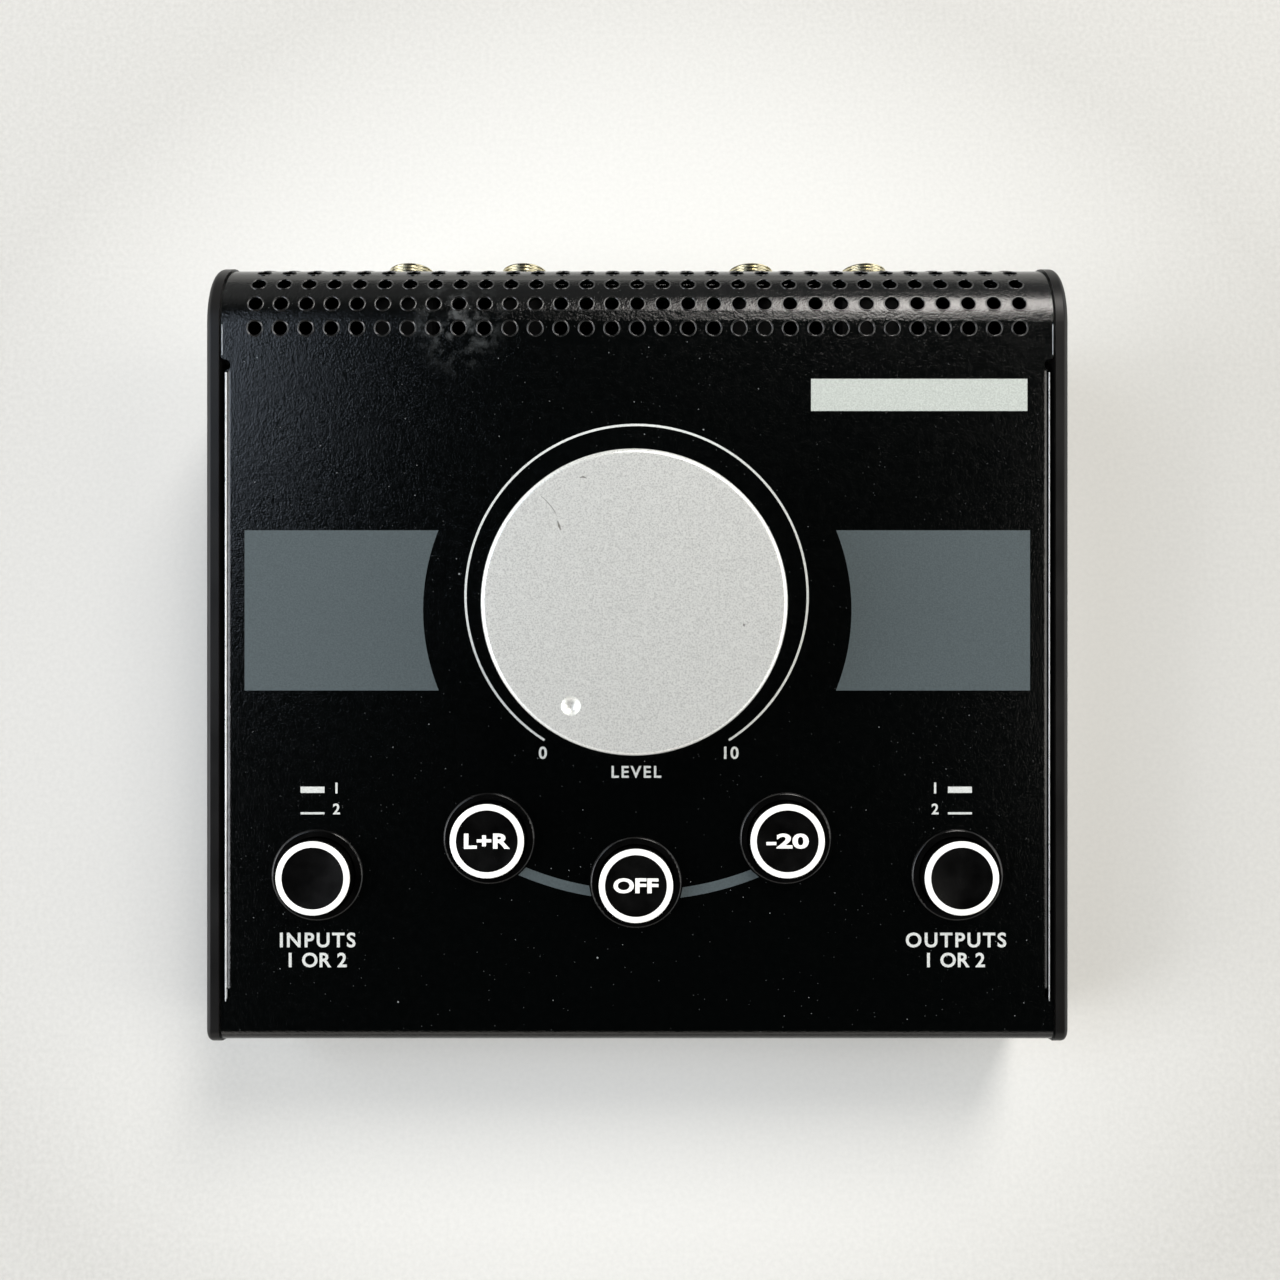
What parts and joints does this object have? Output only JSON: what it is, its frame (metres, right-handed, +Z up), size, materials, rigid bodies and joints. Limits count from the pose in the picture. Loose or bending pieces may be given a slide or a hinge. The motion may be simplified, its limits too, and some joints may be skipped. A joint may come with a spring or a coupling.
{
  "type": "studio monitor controller",
  "caption": "Sloped desktop controller for studio monitors: large turning volume knob, round latching push buttons, vented steel cover, side cheeks and rear jack sockets.",
  "frame": {"origin": "on the desk under the middle of the whole unit, jack noses included", "axes": "+X to the right seen from the front, +Y towards the jacks, +Z up"},
  "size_m": [0.198, 0.1874, 0.0811],
  "materials": {
    "powder_coated_steel": "fine texture",
    "moulded_side_panel": "satin",
    "blackened_screw": "blackened",
    "foot_rubber": "matte",
    "zinc_plated_screw": "plated",
    "anodised_aluminium": "bead blasted",
    "hub_plastic": "moulded",
    "spring_steel": "bright",
    "nickel_plated_brass": "nickel plate",
    "switch_plastic": "moulded",
    "board_laminate": "solder mask",
    "tinned_pins": "tinned",
    "bezel_plastic": "polished",
    "button_plastic": "satin",
    "plunger_plastic": "moulded",
    "resistor_body": "lacquer",
    "ribbon_insulation": "extruded"
  },
  "bodies": {
    "root": {"base_tray": "powder_coated_steel", "board_screws": "zinc_plated_screw", "board_standoffs": "zinc_plated_screw", "button_bezels": "bezel_plastic", "cheek_screws": "blackened_screw", "control_board": "board_laminate", "control_header": "switch_plastic", "dim_switch": "switch_plastic", "foot_screws": "zinc_plated_screw", "front_left_foot": "foot_rubber", "front_right_foot": "foot_rubber", "jack_board": "board_laminate", "jack_header": "switch_plastic", "jack_nuts": "nickel_plated_brass", "jack_pins": "tinned_pins", "jack_sleeves": "nickel_plated_brass", "jack_washers": "nickel_plated_brass", "left_cheek": "moulded_side_panel", "lower_jack_1": "switch_plastic", "lower_jack_2": "switch_plastic", "lower_jack_3": "switch_plastic", "lower_jack_4": "switch_plastic", "monitor_select_switch": "switch_plastic", "mono_switch": "switch_plastic", "mute_switch": "switch_plastic", "pad_resistors": "resistor_body", "rear_left_foot": "foot_rubber", "rear_right_foot": "foot_rubber", "return_springs": "spring_steel", "ribbon_cable": "ribbon_insulation", "right_cheek": "moulded_side_panel", "source_select_switch": "switch_plastic", "switch_pins": "tinned_pins", "top_cover": "powder_coated_steel", "upper_jack_1": "switch_plastic", "upper_jack_2": "switch_plastic", "upper_jack_3": "switch_plastic", "upper_jack_4": "switch_plastic", "volume_bushing": "nickel_plated_brass", "volume_housing": "switch_plastic", "volume_nut": "nickel_plated_brass", "volume_pins": "tinned_pins", "volume_tracks": "board_laminate", "volume_washer": "zinc_plated_screw"},
    "knob": {"knob_cap": "anodised_aluminium", "knob_hub": "hub_plastic", "knob_spring_clip": "spring_steel", "volume_shaft": "nickel_plated_brass", "volume_wipers": "hub_plastic"},
    "source_select_button": {"source_select_cap": "button_plastic", "source_select_plunger": "plunger_plastic"},
    "monitor_select_button": {"monitor_select_cap": "button_plastic", "monitor_select_plunger": "plunger_plastic"},
    "mono_button": {"mono_cap": "button_plastic", "mono_plunger": "plunger_plastic"},
    "mute_button": {"mute_cap": "button_plastic", "mute_plunger": "plunger_plastic"},
    "dim_button": {"dim_cap": "button_plastic", "dim_plunger": "plunger_plastic"}
  },
  "joints": [
    {"name": "volume_turn", "type": "hinge", "parent": "root", "child": "knob", "pos_m": [-0.0006, 0.00582, 0.05492], "axis": [0, -0.1392, 0.9903], "range_deg": [-300, 0]},
    {"name": "source_select_press", "type": "slide", "parent": "root", "child": "source_select_button", "axis": [0, 0.1392, -0.9903], "range_m": [0, 0.0025], "stiffness_N_per_m": 400, "springref_m": -0.003, "deforming": ["return_springs"]},
    {"name": "monitor_select_press", "type": "slide", "parent": "root", "child": "monitor_select_button", "axis": [0, 0.1392, -0.9903], "range_m": [0, 0.0025], "stiffness_N_per_m": 400, "springref_m": -0.003, "deforming": ["return_springs"]},
    {"name": "mono_press", "type": "slide", "parent": "root", "child": "mono_button", "axis": [0, 0.1392, -0.9903], "range_m": [0, 0.0025], "stiffness_N_per_m": 400, "springref_m": -0.003, "deforming": ["return_springs"]},
    {"name": "mute_press", "type": "slide", "parent": "root", "child": "mute_button", "axis": [0, 0.1392, -0.9903], "range_m": [0, 0.0025], "stiffness_N_per_m": 400, "springref_m": -0.003, "deforming": ["return_springs"]},
    {"name": "dim_press", "type": "slide", "parent": "root", "child": "dim_button", "axis": [0, 0.1392, -0.9903], "range_m": [0, 0.0025], "stiffness_N_per_m": 400, "springref_m": -0.003, "deforming": ["return_springs"]}
  ]
}
